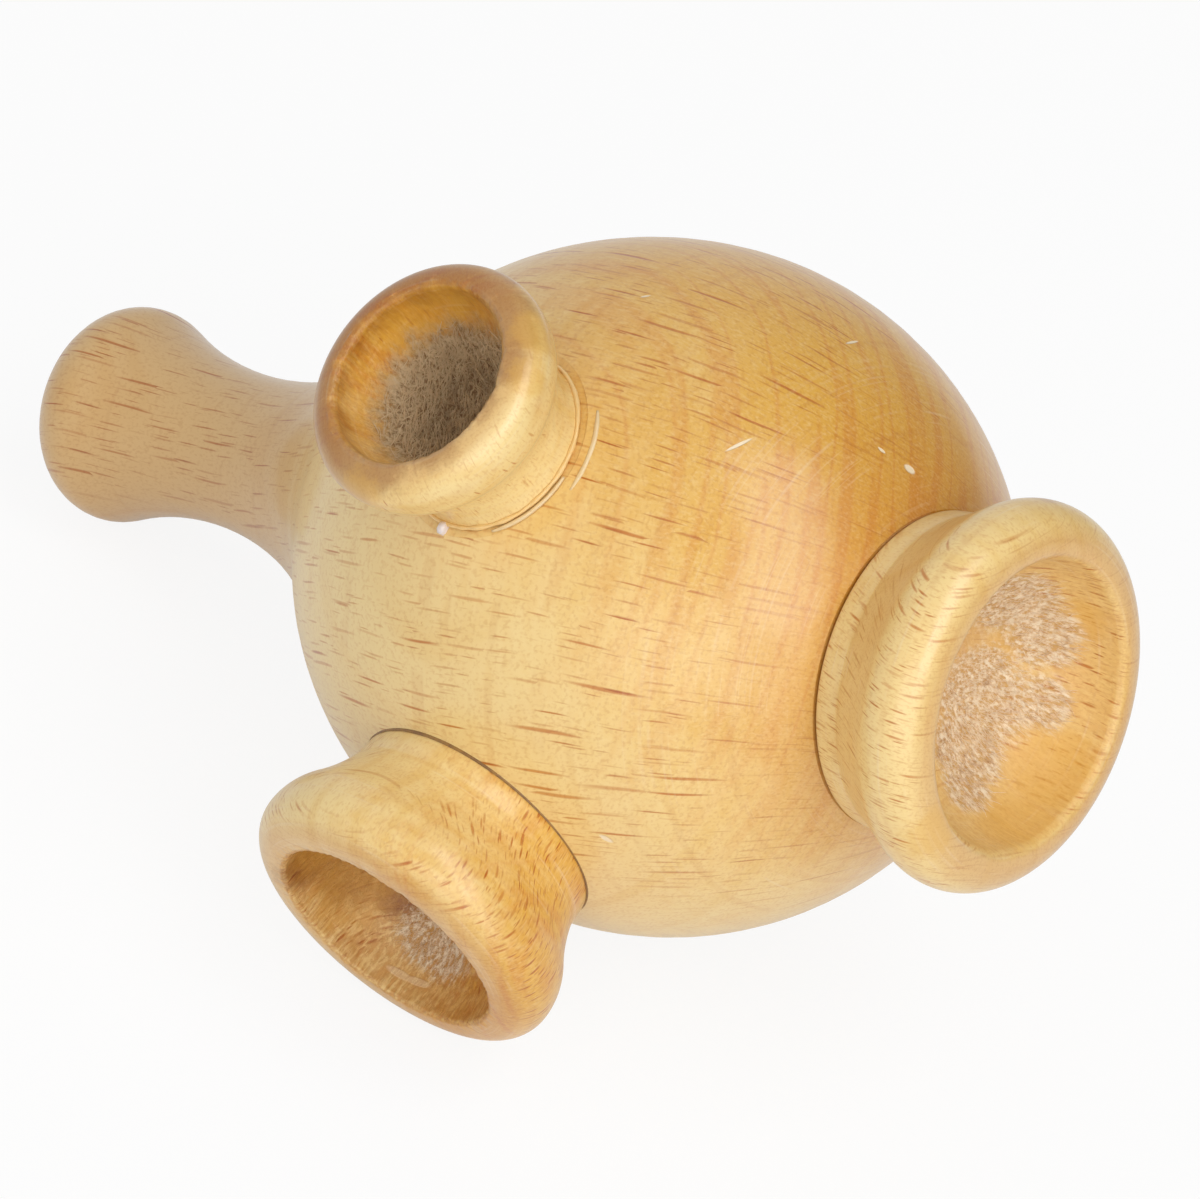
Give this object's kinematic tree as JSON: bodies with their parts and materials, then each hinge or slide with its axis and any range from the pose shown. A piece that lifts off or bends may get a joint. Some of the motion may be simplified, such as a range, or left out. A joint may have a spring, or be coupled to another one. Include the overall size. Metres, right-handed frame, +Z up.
{
  "type": "cupped wooden ball on a handle",
  "caption": "Turned wooden ball on a knobbed handle, with hollow flared cups of different sizes glued into it on the axis and on the side.",
  "frame": {"origin": "on the table, under the middle of the bounding box, with the object lying as it comes to rest", "axes": "+X along the level shadow of the body's axis, from the knob towards the large cup; +Z up from the table; +Y away from the side that carries the medium and small cups"},
  "size_m": [0.1024, 0.0656, 0.0592],
  "materials": {
    "beech_body": "satin varnish over turned beech",
    "beech_cups": "satin varnish over turned beech, bare in the bowls",
    "glue": "cured clear wood glue, glossy"
  },
  "bodies": {
    "root": {"turned_body": "beech_body", "large_cup": "beech_cups", "medium_cup": "beech_cups", "small_cup": "beech_cups", "large_glue": "glue", "medium_glue": "glue", "small_glue": "glue"}
  },
  "joints": []
}
